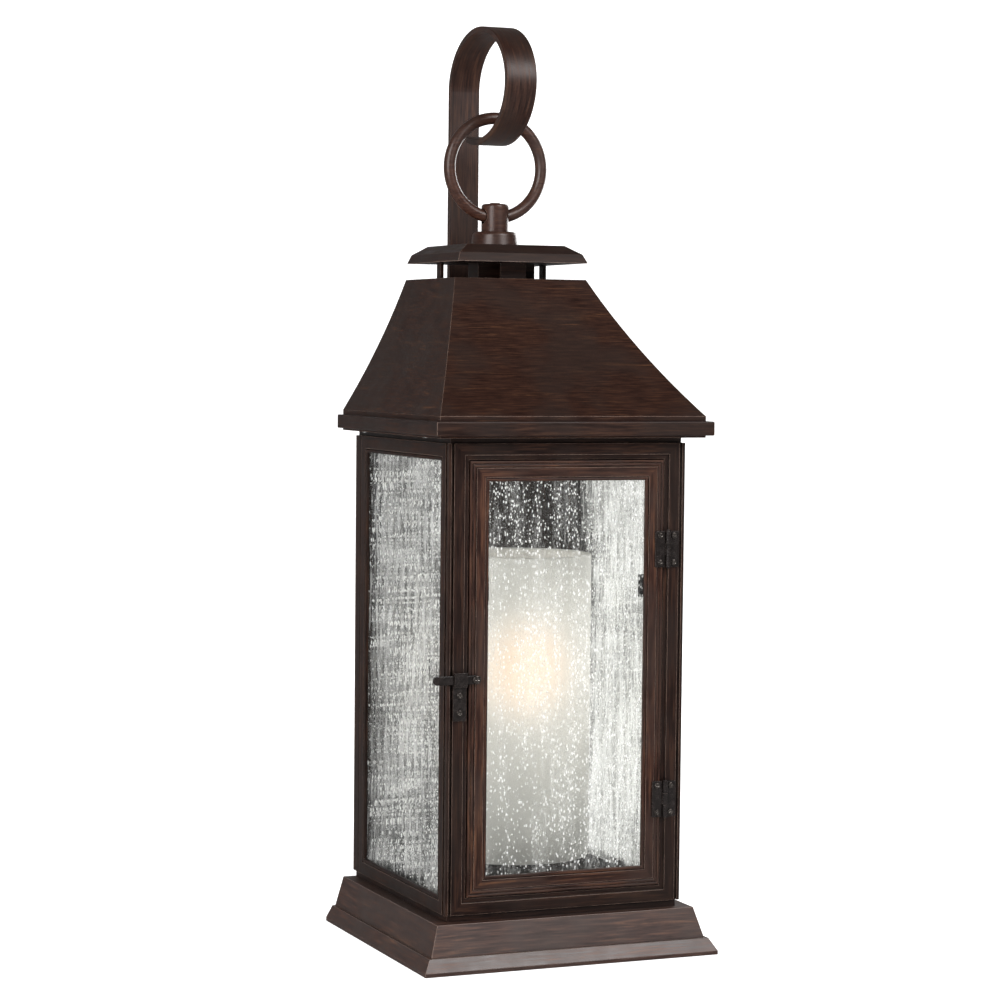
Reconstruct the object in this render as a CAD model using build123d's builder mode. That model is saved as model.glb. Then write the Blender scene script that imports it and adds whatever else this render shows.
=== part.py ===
from build123d import *
from math import acos, atan2, cos, hypot, sin
import os

# Flat-backed outdoor wall lantern with a shepherd's-crook strap and ring.
#
# Frame: the origin is the centre of the wall plate's back face, on the wall.
# +Z is up and the lantern stands out from the wall towards -Y.
# Heights called "level" are measured up from the underside of the base, and
# distances called "depth" are measured forwards from the body's flat back.

os.makedirs("parts", exist_ok=True)

# ---------------------------------------------------------------- dimensions
# body
body_width, body_depth = 198.0, 205.6
body_low_level, body_high_level = 41.0, 399.5

# wall mounting
wall_gap = 21.0                 # wall to the flat back of the body
mount_level = 300.0             # centre of the wall plate
plate_width, plate_height, plate_thickness = 112.0, 130.0, 3.0
plate_screw_spacing = 88.9      # outlet-box screws, centre to centre
plate_screw_radius = 2.4
wire_hole_radius = 11.0
wire_hole_drop = 42.0
ear_height, ear_reach, ear_thickness = 24.0, 13.0, 2.5
canopy_width, canopy_height, canopy_wall = 122.0, 200.0, 2.0
plate_corner, canopy_corner = 4.0, 5.0
canopy_screw_reach = 9.0        # how far a side screw goes past the canopy's wall
side_head_radius, side_head_height = 3.5, 2.0
strap_slot_gap = 0.4            # round the strap, where it leaves the canopy
body_screw_x, body_screw_inset = 38.0, 20.0
body_head_height, body_screw_reach = 2.4, 5.0

# crook: a flat bar that rises behind the roof and curls forwards
strap_width, strap_thickness = 26.0, 5.0
strap_wall_clearance = 1.6
crook_rise_above_body = 283.8
crook_reach, crook_rise = 62.8, 47.5        # outer half-axes of the oval loop
crook_end_angle = 293.0
strap_foot_drop = 32.0          # how far the strap's foot reaches down inside the canopy
strap_edge_round = 0.7
strap_screw_radius = 2.0
strap_screw_inset, strap_screw_pitch = 6.5, 13.0
strap_screw_sunk, strap_head_height = 0.3, 1.6
strap_screw_reach = 8.0         # how far a screw goes past the strap's front
strap_block_width, strap_block_height = 22.0, 26.0

# base: two sloping tiers
foot_width, foot_depth, foot_lip = body_width + 47.0, body_depth + 21.7, 3.0
foot_top_width, foot_top_depth, foot_top_level = body_width + 36.1, body_depth + 15.4, 12.4
plinth_width, plinth_depth = body_width + 31.1, body_depth + 13.0
plinth_top_width, plinth_top_depth = body_width + 17.1, body_depth + 7.0
plinth_top_level = body_low_level - 5.2
base_wall = 2.0
base_web = 26.0                 # width of the flat webs inside the tiers
base_screw_radius = 2.0
base_head_radius, base_head_height, base_screw_reach = 4.0, 2.2, 5.5
base_screw_x = body_width / 2 - 8.0
base_screw_depths = (24.0, body_depth - 23.6)

# posts, frames and panes
recess = 2.6                    # floor plate and head frame stand in by this
sheet = 1.6
frame_thickness = 2.8
post_nose_front, post_nose_side, post_seam = 4.2, 5.2, 0.7
post_leg, post_wall = 12.0, 3.0
post_round = 0.7
post_bead, post_groove = 2.5, 1.6           # corner bead, and the grooves beside it
rear_post, rear_tongue = 12.0, 8.0
rear_post_round = 1.2
floor_sheet, floor_rim = 2.0, 12.0
head_rim = 14.0

front_member = 12.3             # fixed front frame, outer edge to door opening
front_bead, front_bead_sunk = 2.9, 1.7
stop_overlap, stop_thickness, stop_wall, stop_gap = 3.4, 1.6, 2.0, 0.4
quirk_width, quirk_depth = 0.6, 0.9
side_member_front, side_member_rear, side_member_rail = 10.0, 12.4, 13.2
side_bead = 2.6
bead_round = 0.8

pane_thickness, pane_overlap, pane_gap = 3.0, 3.4, 0.3
clip_width, clip_sheet = 17.5, 1.0
clip_show = 1.6                 # how far a clip shows past the frame's inner edge
clip_edge_gap = 0.5

# door
door_gap = 0.8
door_member = 15.6
door_lands = ((2.4, 0.5), (7.4, 0.5), (2.3, 0.5))   # land, then quirk, from the pane outwards
door_rebate = 4.0               # how far the rebate reaches behind the door's lip
door_lip_thickness, door_pane_gap = 2.6, 0.4
door_thickness = door_lip_thickness + pane_thickness + door_pane_gap
door_clip_level = 288.5
door_clip_show = 2.6
door_clip_reach = 6.5

# hinges
hinge_axis_x = body_width / 2 - 14.7
hinge_levels = (body_high_level - 82.5, body_low_level + 80.5)   # mid heights
leaf_height, leaf_thickness = 28.0, 1.2
door_leaf_reach, frame_leaf_reach = 10.6, 9.6
knuckle_radius, pin_radius, pin_clearance = 2.1, 1.0, 0.05
knuckle_gap = 0.3
pin_overhang = 1.0
hinge_screw_inset, hinge_screw_pitch = 4.3, 21.0
small_head_radius, small_head_height, small_shank_radius = 2.5, 1.1, 1.3
door_screw_length = 5.5
recess_arm, recess_slit, recess_deep = 2.6, 0.45, 0.5   # cross recess of a small head

# latch
latch_x, latch_level = 23.5 - body_width / 2, 220.8
latch_tip_x = -body_width / 2 - 11.6
latch_height, latch_thickness, latch_gap = 6.7, 2.0, 0.3
latch_head_radius, latch_head_height, latch_shank_radius = 3.3, 1.6, 1.8
latch_head_gap, latch_screw_length = 0.2, 8.0
latch_edge_round = 0.5
keeper_low_level, keeper_high_level = 189.7, 226.4
keeper_x = (5.0 - body_width / 2, 15.4 - body_width / 2)
keeper_thickness = 1.5
keeper_slot = 2.8               # between the frame's face and the keeper's hook
keeper_screw_levels = (209.0, 195.7)

# roof
eave_width, eave_depth = body_width + 32.5, body_depth + 17.4
eave_low_level, eave_high_level = body_high_level + 6.0, body_high_level + 17.0
roof_foot_width, roof_foot_depth = body_width + 23.0, body_depth + 11.7
roof_foot_low_level, roof_foot_level = body_high_level + 4.3, body_high_level + 20.9
roof_top_width, roof_top_depth = 113.1, 108.2
roof_top_level = body_high_level + 127.3
roof_bow_side, roof_bow_front = 3.2, 6.5    # dip of each slope inside a straight line
roof_sheet, roof_slope_wall = 1.5, 2.0
roof_flange = 12.0
soffit_sheet, soffit_clearance = 2.0, 0.3
soffit_opening = body_width - 28.0
soffit_screw_x = roof_foot_width / 2 - 7.0
soffit_screw_depths = (35.0, roof_foot_depth - 47.3)
soffit_screw_reach = 6.0
eave_round = 1.0
vent_slot = (40.0, 14.0)

# cap
cap_level = roof_top_level + 13.0
cap_width, cap_depth = 111.6, 113.4
cap_shoulder_width, cap_shoulder_depth, cap_shoulder_level = 105.5, 109.2, cap_level + 7.1
cap_top_width, cap_top_depth, cap_top_level = 83.9, 98.0, cap_level + 14.1
cap_back_lean = (0.0, 2.0, 11.0)            # how far the back steps in at each level
cap_sheet = 1.5
bracket_half_span = 45.0
front_bracket_width, side_bracket_width, bracket_thickness = 22.0, 8.5, 2.6
side_bracket_depth = 47.3
front_bracket_depth, rear_bracket_depth = 91.0, 24.6
baffle_width, baffle_depths = 49.0, (58.0, 78.0)
baffle_sheet = 1.5
baffle_middle = sum(baffle_depths) / 2

# finial and ring
post_depth = 53.0
flange_radius, flange_top_radius, flange_level = 19.5, 17.7, cap_top_level + 11.6
finial_radius, finial_dome, finial_top_level = 11.0, 2.2, flange_level + 22.5
button_radius, button_height = 4.0, 0.9
rod_radius, rod_low_level, rod_high_level = 4.0, roof_top_level - 12.8, flange_level + 4.5
nut_across_flats, nut_height = 13.0, 6.5
ring_radius, ring_wire_radius = 40.0, 4.8
ring_level = finial_top_level + 29.0
ring_hole_gap, ring_hole_rise = 1.2, 0.8
ring_hole_radius = ring_wire_radius + ring_hole_gap
rod_hole_gap, rod_chamfer = 0.5, 0.6

# lamp
lamp_depth = 103.0
shade_radius, shade_wall, shade_low_level, shade_high_level = 60.5, 4.0, 67.5, 308.5
seat_step, seat_thickness, seat_lip_height = 2.5, 3.0, 4.0
seat_radius = shade_radius - seat_step
tube_radius, tube_bore, tube_low_level, tube_high_level = 6.5, 4.5, 30.0, 125.0
tube_nut_flats, tube_nut_height = 19.0, 5.0
seat_lip_gap, seat_lip_wall = 0.4, 2.0
socket_radius, socket_low_level, socket_high_level = 17.5, 120.0, 168.0
socket_liner_radius, socket_bore = 15.2, 13.6
socket_floor, socket_liner_drop, socket_round = 2.0, 2.0, 5.0
bulb_radius, bulb_level = 30.0, 222.0
bulb_neck_radius, bulb_cap_low_level, bulb_cap_high_level = 13.2, 140.0, 166.0
bulb_contact_radius, bulb_cap_chamfer = 3.0, 4.0

# supply lead, held all the way from the socket to the terminal block
lead_radius = 2.0
lead_top_level, lead_low_level, lead_high_level, lead_rise_depth = 124.0, 17.0, 255.0, 13.0
lead_bend = 12.0
channel_width, channel_depth, channel_sheet = 15.0, 19.0, 1.2
terminal_size, terminal_bore, terminal_floor = (24.0, 11.0, 14.0), 2.2, 3.0

fit_gap = 0.1                   # radial clearance of a screw in its hole
lead_gap = 0.5                  # radial clearance round the supply lead
through = 1.0                   # how far a cutting tool passes the face it goes through


# ------------------------------------------------------------------- helpers
def up(level):
    """Height in the lantern's frame of a level above the base's underside."""
    return level - mount_level


def out(depth):
    """Y of a depth in front of the body's flat back."""
    return -wall_gap - depth


def front_plane(depth):
    """Upright plane facing forwards: local x is X and local y is height."""
    return Plane(origin=(0, out(depth), 0), x_dir=(1, 0, 0), z_dir=(0, -1, 0))


def left_plane(x):
    """Upright plane facing left: local x is the distance from the wall."""
    return Plane(origin=(x, 0, 0), x_dir=(0, -1, 0), z_dir=(-1, 0, 0))


def level_plane(level):
    """Level plane facing up."""
    return Plane.XY.offset(up(level))


def finish(sub_part, name):
    """Label a finished sub-part and write it to its own file."""
    sub_part.part.label = name
    export_step(sub_part.part, f"parts/{name}.step")


def area(x_low, x_high, y_low, y_high, mode=Mode.ADD):
    """Rectangle between two corners of the sketch plane."""
    with Locations(((x_low + x_high) / 2, (y_low + y_high) / 2)):
        Rectangle(x_high - x_low, y_high - y_low, mode=mode)


def plan(width, depth, inset=0.0, back=0.0, mode=Mode.ADD):
    """Plan outline against the body's back, drawn on a level plane."""
    area(inset - width / 2, width / 2 - inset, out(depth - inset), out(back + inset), mode=mode)


def block(x_range, depth_range, level_range, mode=Mode.ADD):
    """Box between two limits of X, of depth and of level."""
    (x_low, x_high), (near, far), (low, high) = x_range, depth_range, level_range
    centre = ((x_low + x_high) / 2, out((near + far) / 2), up((low + high) / 2))
    with Locations(centre):
        Box(x_high - x_low, abs(far - near), high - low, mode=mode)


def tapered(low, high, inset=0.0, back=(0.0, 0.0), mode=Mode.ADD):
    """Solid between two plan outlines, each given as (width, depth, level)."""
    sections = []
    for (width, depth, level), lean in zip((low, high), back):
        with BuildSketch(level_plane(level)) as section:
            plan(width, depth, inset, lean)
        sections.append(section.sketch)
    loft(sections, mode=mode)


def upright(x, depth, level_range, radius, mode=Mode.ADD):
    """Vertical cylinder between two levels."""
    low, high = level_range
    with Locations((x, out(depth), up((low + high) / 2))):
        Cylinder(radius, high - low, mode=mode)


def forward_rod(x, level, depth_range, radius, mode=Mode.ADD):
    """Cylinder along Y between two depths."""
    near, far = depth_range
    with Locations(Location((x, out((near + far) / 2), up(level)), (90, 0, 0))):
        Cylinder(radius, abs(far - near), mode=mode)


def ring_moulding(plane, outer, opening, thickness, lands, rounded):
    """Flat frame with quirks sunk round its opening, between the given lands.

    outer and opening are (x_low, x_high, y_low, y_high); lands lists (land,
    quirk) widths from the opening outwards, and the first lands get rounded.
    """
    with BuildPart() as moulding:
        with BuildSketch(plane):
            area(*outer)
            area(*opening, mode=Mode.SUBTRACT)
        extrude(amount=thickness)
        grown = 0.0
        for land, quirk in lands:
            grown += land
            with BuildSketch(plane.offset(thickness)):
                area(*grow(opening, grown + quirk))
                area(*grow(opening, grown), mode=Mode.SUBTRACT)
            extrude(amount=-quirk_depth, mode=Mode.SUBTRACT)
            grown += quirk
        fronts = moulding.faces().group_by(Axis(plane.origin, plane.z_dir))[-1]
        beads = fronts.sort_by(SortBy.AREA)[:rounded]
        fillet([edge for face in beads for edge in face.edges()], bead_round)
    return moulding.part


def grow(limits, margin):
    """Rectangle limits moved outwards by a margin."""
    x_low, x_high, y_low, y_high = limits
    return (x_low - margin, x_high + margin, y_low - margin, y_high + margin)


# ------------------------------------------------------------- wall mounting
plate_depth = plate_thickness - wall_gap        # plate's front face, as a depth
half_plate = plate_width / 2
ear_x = half_plate - ear_thickness

with BuildPart() as wall_plate:
    with BuildSketch(front_plane(-wall_gap)):
        RectangleRounded(plate_width, plate_height, plate_corner)
        with GridLocations(plate_screw_spacing, 0, 2, 1):
            Circle(plate_screw_radius, mode=Mode.SUBTRACT)
        with Locations((0, -wire_hole_drop)):
            Circle(wire_hole_radius, mode=Mode.SUBTRACT)
    extrude(amount=plate_thickness)
    for side in (-1, 1):
        ear_range = sorted((side * ear_x, side * half_plate))
        block(ear_range, (plate_depth, plate_depth + ear_reach),
              (mount_level - ear_height / 2, mount_level + ear_height / 2))
        with Locations(Location((side * half_plate, out(plate_depth + ear_reach / 2), 0), (0, 90, 0))):
            Cylinder(base_screw_radius + fit_gap, 3 * ear_thickness, mode=Mode.SUBTRACT)
finish(wall_plate, "wall_plate")

canopy_low = mount_level - canopy_height / 2
canopy_high = mount_level + canopy_height / 2
strap_back_depth = strap_wall_clearance - wall_gap
strap_front_depth = strap_back_depth + strap_thickness
body_screw_levels = (canopy_low + body_screw_inset, canopy_high - body_screw_inset)
body_screw_places = [(x, level) for x in (-body_screw_x, body_screw_x) for level in body_screw_levels]
canopy_screw_depth = plate_depth + ear_reach / 2

with BuildPart() as canopy:
    with BuildSketch(front_plane(-wall_gap)):
        RectangleRounded(canopy_width, canopy_height, canopy_corner)
    extrude(amount=wall_gap)
    with BuildSketch(front_plane(-wall_gap)):
        RectangleRounded(canopy_width - 2 * canopy_wall, canopy_height - 2 * canopy_wall,
                         canopy_corner - canopy_wall)
    extrude(amount=wall_gap - canopy_wall, mode=Mode.SUBTRACT)
    slot_half = strap_width / 2 + strap_slot_gap
    block((-slot_half, slot_half), (-wall_gap, strap_front_depth + strap_slot_gap),
          (canopy_high - 2 * canopy_wall, canopy_high + through), mode=Mode.SUBTRACT)
    for x, level in body_screw_places:
        forward_rod(x, level, (-2 * canopy_wall, through), base_screw_radius + fit_gap, mode=Mode.SUBTRACT)
    forward_rod(0, lead_high_level, (-2 * canopy_wall, through), lead_radius + lead_gap, mode=Mode.SUBTRACT)
    with Locations(Location((0, out(canopy_screw_depth), 0), (0, 90, 0))):
        Cylinder(base_screw_radius + fit_gap, canopy_width + 2 * through, mode=Mode.SUBTRACT)
finish(canopy, "canopy")

with BuildPart() as canopy_screws:
    for side in (-1, 1):
        outer_x = side * canopy_width / 2
        with BuildSketch(Plane(origin=(outer_x, out(canopy_screw_depth), 0), z_dir=(side, 0, 0))):
            Circle(side_head_radius)
        extrude(amount=side_head_height)
        with BuildSketch(Plane(origin=(outer_x, out(canopy_screw_depth), 0), z_dir=(-side, 0, 0))):
            Circle(base_screw_radius)
        extrude(amount=canopy_wall + canopy_screw_reach)
    head_x = canopy_width / 2 + side_head_height / 2
    round_edges = canopy_screws.edges().filter_by(GeomType.CIRCLE)
    fillet(round_edges.filter_by(lambda edge: abs(edge.center().X) > head_x), 0.6 * side_head_height)
finish(canopy_screws, "canopy_screws")

with BuildPart() as terminal_block:
    width, reach, height = terminal_size
    block((-width / 2, width / 2), (-canopy_wall - reach, -canopy_wall),
          (lead_high_level - height / 2, lead_high_level + height / 2))
    for x in (-width / 4, width / 4):
        forward_rod(x, lead_high_level, (-canopy_wall - reach - through, -canopy_wall - terminal_floor),
                    terminal_bore, mode=Mode.SUBTRACT)
finish(terminal_block, "terminal_block")

# --------------------------------------------------------------------- crook
strap_foot_level = canopy_high - strap_foot_drop
crook_level = body_high_level + crook_rise_above_body
crook_centre = (out(strap_back_depth) - crook_reach, up(crook_level))
strap_back_y = out(strap_back_depth)
strap_front_y = out(strap_front_depth)
strap_screw_low = strap_foot_level + strap_screw_inset
strap_screw_levels = (strap_screw_low, strap_screw_low + strap_screw_pitch)

with BuildPart() as crook_strap:
    with BuildSketch(Plane.YZ):
        with BuildLine():
            outer = EllipticalCenterArc(crook_centre, crook_reach, crook_rise,
                                        start_angle=0, arc_size=crook_end_angle)
            inner = EllipticalCenterArc(crook_centre, crook_reach - strap_thickness,
                                        crook_rise - strap_thickness,
                                        start_angle=0, arc_size=crook_end_angle)
            Line(outer @ 1, inner @ 1)
            Line(inner @ 0, (strap_front_y, up(strap_foot_level)))
            Line((strap_front_y, up(strap_foot_level)), (strap_back_y, up(strap_foot_level)))
            Line((strap_back_y, up(strap_foot_level)), outer @ 0)
        make_face()
    extrude(amount=strap_width / 2, both=True)
    fillet(crook_strap.faces().filter_by(Axis.X).edges(), strap_edge_round)
    for level in strap_screw_levels:
        with Locations(Location((0, strap_back_y, up(level)), (-90, 0, 0))):
            CounterSinkHole(strap_screw_radius + fit_gap, 2 * strap_screw_radius, strap_thickness + through)
finish(crook_strap, "crook_strap")

with BuildPart() as strap_block:
    block((-strap_block_width / 2, strap_block_width / 2), (strap_front_depth, -canopy_wall),
          (strap_foot_level, strap_foot_level + strap_block_height))
    for level in strap_screw_levels:
        forward_rod(0, level, (strap_front_depth, -canopy_wall - 2), strap_screw_radius + fit_gap,
                    mode=Mode.SUBTRACT)
finish(strap_block, "strap_block")

with BuildPart() as strap_screws:
    for level in strap_screw_levels:
        head_depth = strap_back_depth + strap_screw_sunk
        with BuildSketch(front_plane(head_depth)):
            with Locations((0, up(level))):
                Circle(2 * strap_screw_radius - strap_screw_sunk - fit_gap)
        with BuildSketch(front_plane(head_depth + strap_head_height)):
            with Locations((0, up(level))):
                Circle(strap_screw_radius)
        loft()
        forward_rod(0, level, (head_depth + strap_head_height, strap_front_depth + strap_screw_reach),
                    strap_screw_radius)
finish(strap_screws, "strap_screws")

# ---------------------------------------------------------------------- base
foot_low = (foot_width, foot_depth, foot_lip)
foot_high = (foot_top_width, foot_top_depth, foot_top_level)
plinth_low = (plinth_width, plinth_depth, foot_top_level)
plinth_high = (plinth_top_width, plinth_top_depth, plinth_top_level)
base_screw_places = [(x, depth) for x in (-base_screw_x, base_screw_x) for depth in base_screw_depths]

with BuildPart() as base_foot:
    with BuildSketch(level_plane(0)):
        plan(foot_width, foot_depth)
    extrude(amount=foot_lip)
    tapered(foot_low, foot_high)
    with BuildSketch(level_plane(0)):
        plan(foot_width, foot_depth, base_wall)
    extrude(amount=foot_lip, mode=Mode.SUBTRACT)
    tapered(foot_low, (foot_top_width, foot_top_depth, foot_top_level - base_wall), base_wall,
            mode=Mode.SUBTRACT)
    with BuildSketch(level_plane(foot_top_level + through)):
        plan(foot_top_width, foot_top_depth, base_web)
    extrude(amount=-foot_top_level, mode=Mode.SUBTRACT)
finish(base_foot, "base_foot")

through_floor = (plinth_top_level - base_wall - through, body_low_level + through)

with BuildPart() as base_plinth:
    tapered(plinth_low, plinth_high)
    tapered(plinth_low, (plinth_top_width, plinth_top_depth, plinth_top_level - base_wall), base_wall,
            mode=Mode.SUBTRACT)
    with BuildSketch(level_plane(plinth_top_level + through)):
        plan(plinth_top_width, plinth_top_depth, base_web + 2 * base_wall)
    extrude(amount=-3 * base_wall, mode=Mode.SUBTRACT)
    for x, depth in base_screw_places:
        upright(x, depth, through_floor, base_screw_radius + fit_gap, mode=Mode.SUBTRACT)
    upright(0, lead_rise_depth, through_floor, lead_radius + lead_gap, mode=Mode.SUBTRACT)
finish(base_plinth, "base_plinth")

with BuildPart() as floor_plate:
    floor_width, floor_depth = body_width - 2 * recess, body_depth - recess
    with BuildSketch(level_plane(plinth_top_level)):
        plan(floor_width, floor_depth)
    extrude(amount=body_low_level - plinth_top_level)
    with BuildSketch(level_plane(plinth_top_level)):
        plan(floor_width, floor_depth, floor_rim)
    extrude(amount=body_low_level - plinth_top_level - floor_sheet, mode=Mode.SUBTRACT)
    upright(0, lamp_depth, through_floor, tube_radius + fit_gap, mode=Mode.SUBTRACT)
    upright(0, lead_rise_depth, through_floor, lead_radius + lead_gap, mode=Mode.SUBTRACT)
    for x, depth in base_screw_places:
        upright(x, depth, through_floor, base_screw_radius + fit_gap, mode=Mode.SUBTRACT)
finish(floor_plate, "floor_plate")

with BuildPart() as base_screws:
    for x, depth in base_screw_places:
        head_top = plinth_top_level - base_wall
        upright(x, depth, (head_top - base_head_height, head_top), base_head_radius)
        upright(x, depth, (head_top, head_top + base_screw_reach), base_screw_radius)
finish(base_screws, "base_screws")

# ---------------------------------------------------------------------- body
half_body = body_width / 2
frame_back = body_depth - frame_thickness

with BuildPart() as post_front_left:
    with BuildSketch(level_plane(body_low_level)):
        area(-half_body, -half_body + post_nose_front, out(body_depth), out(body_depth - post_nose_side))
        area(-half_body + post_bead, -half_body + post_nose_front,
             out(body_depth), out(body_depth - post_groove), mode=Mode.SUBTRACT)
        area(-half_body, -half_body + post_groove,
             out(body_depth - post_bead), out(body_depth - post_nose_side), mode=Mode.SUBTRACT)
        area(-half_body + frame_thickness, -half_body + post_leg,
             out(frame_back), out(frame_back - post_wall))
        area(-half_body + frame_thickness, -half_body + frame_thickness + post_wall,
             out(frame_back), out(body_depth - post_leg))
    extrude(amount=body_high_level - body_low_level)
    fillet(post_front_left.edges().filter_by(Axis.Z).group_by(Axis.X)[0].group_by(Axis.Y)[0], post_round)
finish(post_front_left, "post_front_left")

with BuildPart() as post_rear_left:
    with BuildSketch(level_plane(body_low_level)):
        area(-half_body, -half_body + rear_post, out(rear_post), out(sheet))
        area(-half_body + frame_thickness, -half_body + frame_thickness + post_wall,
             out(rear_post + rear_tongue), out(rear_post))
    extrude(amount=body_high_level - body_low_level)
    fillet(post_rear_left.edges().filter_by(Axis.Z).group_by(Axis.X)[0].group_by(Axis.Y)[0], rear_post_round)
finish(post_rear_left, "post_rear_left")

for left_post, name in ((post_front_left, "post_front_right"), (post_rear_left, "post_rear_right")):
    with BuildPart() as right_post:
        mirror(left_post.part, about=Plane.YZ)
    finish(right_post, name)

with BuildPart() as back_panel:
    block((-half_body, half_body), (0, sheet), (body_low_level, body_high_level))
    for x, level in body_screw_places:
        forward_rod(x, level, (-through, sheet + through), base_screw_radius + fit_gap, mode=Mode.SUBTRACT)
    forward_rod(0, lead_high_level, (-through, sheet + through), lead_radius + lead_gap, mode=Mode.SUBTRACT)
finish(back_panel, "back_panel")

with BuildPart() as body_screws:
    for x, level in body_screw_places:
        forward_rod(x, level, (sheet, sheet + body_head_height), base_head_radius)
        forward_rod(x, level, (-canopy_wall - body_screw_reach, sheet), base_screw_radius)
finish(body_screws, "body_screws")

# screws in the fixed front frame: two hinge leaves and the keeper
hinge_screw_offsets = (-hinge_screw_pitch / 2, hinge_screw_pitch / 2)
hinge_screw_levels = [level + offset for level in hinge_levels for offset in hinge_screw_offsets]
frame_hinge_screw_x = hinge_axis_x + frame_leaf_reach - hinge_screw_inset
door_hinge_screw_x = hinge_axis_x - door_leaf_reach + hinge_screw_inset
keeper_screw_x = sum(keeper_x) / 2
frame_screw_places = [(frame_hinge_screw_x, level) for level in hinge_screw_levels]
frame_screw_places += [(keeper_screw_x, level) for level in keeper_screw_levels]
door_screw_places = [(door_hinge_screw_x, level) for level in hinge_screw_levels]

# the fixed front frame
front_half = half_body - post_nose_front - post_seam
front_outer = (-front_half, front_half, up(body_low_level), up(body_high_level))
door_opening = grow(front_outer, -front_member)

front_moulding = ring_moulding(front_plane(frame_back), front_outer, door_opening, frame_thickness,
                               ((front_bead, quirk_width),), 1)
sunk_edge = front_bead + quirk_width
stop_front = body_depth - door_thickness - stop_gap
stop_outer = grow(door_opening, sunk_edge)

with BuildPart() as front_frame:
    add(front_moulding)
    with BuildSketch(front_plane(body_depth)):
        area(*grow(door_opening, sunk_edge))
        area(*door_opening, mode=Mode.SUBTRACT)
    extrude(amount=-front_bead_sunk, mode=Mode.SUBTRACT)
    with BuildSketch(front_plane(frame_back)):
        area(*stop_outer)
        area(*grow(stop_outer, -stop_wall), mode=Mode.SUBTRACT)
    extrude(amount=stop_front - frame_back)
    with BuildSketch(front_plane(stop_front)):
        area(*stop_outer)
        area(*grow(door_opening, -stop_overlap), mode=Mode.SUBTRACT)
    extrude(amount=-stop_thickness)
    for x, level in frame_screw_places:
        forward_rod(x, level, (frame_back - through, body_depth + through), small_shank_radius + fit_gap,
                    mode=Mode.SUBTRACT)
finish(front_frame, "front_frame")

# the side frames, drawn on the left with local x measured out from the wall
side_near = wall_gap + rear_post + post_seam
side_far = wall_gap + body_depth - post_nose_side - post_seam
side_outer = (side_near, side_far, up(body_low_level), up(body_high_level))
side_opening = (side_near + side_member_rear, side_far - side_member_front,
                up(body_low_level + side_member_rail), up(body_high_level - side_member_rail))

pane_x = frame_thickness - half_body
side_moulding = ring_moulding(left_plane(pane_x), side_outer, side_opening, frame_thickness,
                              ((side_bead, quirk_width),), 1)

with BuildPart() as left_frame:
    add(side_moulding)
finish(left_frame, "left_frame")

with BuildPart() as left_pane:
    with BuildSketch(left_plane(pane_x + pane_thickness + pane_gap)):
        area(*grow(side_opening, pane_overlap))
    extrude(amount=pane_thickness)
finish(left_pane, "left_pane")

for left_side, name in ((left_frame, "right_frame"), (left_pane, "right_pane")):
    with BuildPart() as right_side:
        mirror(left_side.part, about=Plane.YZ)
    finish(right_side, name)

pane_back_x = pane_x + pane_thickness + pane_gap
clip_depth = (side_opening[0] + side_opening[1]) / 2 - wall_gap
clip_depths = (clip_depth - clip_width / 2, clip_depth + clip_width / 2)
clip_riser = side_member_rail - pane_overlap - pane_gap

with BuildPart() as pane_clips:
    for side in (-1, 1):
        for rail_level, inward in ((body_low_level, 1), (body_high_level, -1)):
            foot_x = sorted((-side * pane_x, -side * (pane_x + clip_sheet)))
            tail_x = sorted((-side * pane_back_x, -side * (pane_back_x + clip_sheet)))
            riser_x = sorted((-side * pane_x, -side * (pane_back_x + clip_sheet)))
            for x_range, start, end in ((foot_x, clip_edge_gap, clip_riser),
                                        (riser_x, clip_riser - clip_sheet, clip_riser),
                                        (tail_x, clip_riser - clip_sheet, side_member_rail + clip_show)):
                block(x_range, clip_depths,
                      sorted((rail_level + inward * start, rail_level + inward * end)))
finish(pane_clips, "pane_clips")

with BuildPart() as head_frame:
    head_width, head_depth = body_width - 2 * recess, body_depth - recess
    with BuildSketch(level_plane(body_high_level)):
        plan(head_width, head_depth)
        plan(head_width, head_depth, head_rim, mode=Mode.SUBTRACT)
    extrude(amount=roof_foot_low_level - body_high_level)
finish(head_frame, "head_frame")

with BuildPart() as soffit:
    soffit_inset = roof_sheet + soffit_clearance
    with BuildSketch(level_plane(roof_foot_low_level)):
        plan(roof_foot_width, roof_foot_depth, soffit_inset)
        area(-soffit_opening / 2, soffit_opening / 2, out(body_depth - head_rim), out(head_rim),
             mode=Mode.SUBTRACT)
    extrude(amount=soffit_sheet)
    for side in (-1, 1):
        for depth in soffit_screw_depths:
            upright(side * soffit_screw_x, depth, (roof_foot_low_level - through, eave_high_level),
                    small_shank_radius + fit_gap, mode=Mode.SUBTRACT)
finish(soffit, "soffit")

screw_top = roof_foot_low_level + soffit_screw_reach

with BuildPart() as soffit_screws:
    for side in (-1, 1):
        for depth in soffit_screw_depths:
            upright(side * soffit_screw_x, depth,
                    (roof_foot_low_level - small_head_height, roof_foot_low_level), small_head_radius)
            upright(side * soffit_screw_x, depth, (roof_foot_low_level, screw_top), small_shank_radius)
finish(soffit_screws, "soffit_screws")

# ---------------------------------------------------------------------- roof
with BuildPart() as eave_band:
    with BuildSketch(level_plane(eave_low_level)):
        plan(eave_width, eave_depth)
        area(-roof_foot_width / 2, roof_foot_width / 2, out(roof_foot_depth), out(-through),
             mode=Mode.SUBTRACT)
    extrude(amount=eave_high_level - eave_low_level)
    outer_edges = (eave_band.edges().filter_by(GeomType.LINE)
                   .filter_by(lambda edge: abs(edge.center().X) > roof_foot_width / 2 + eave_round
                              or edge.center().Y < out(roof_foot_depth + eave_round)))
    level_edges = outer_edges.filter_by(Axis.Z, reverse=True)
    fillet(level_edges.filter_by(lambda edge: edge.length > roof_foot_depth / 2), eave_round)
finish(eave_band, "eave_band")


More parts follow.
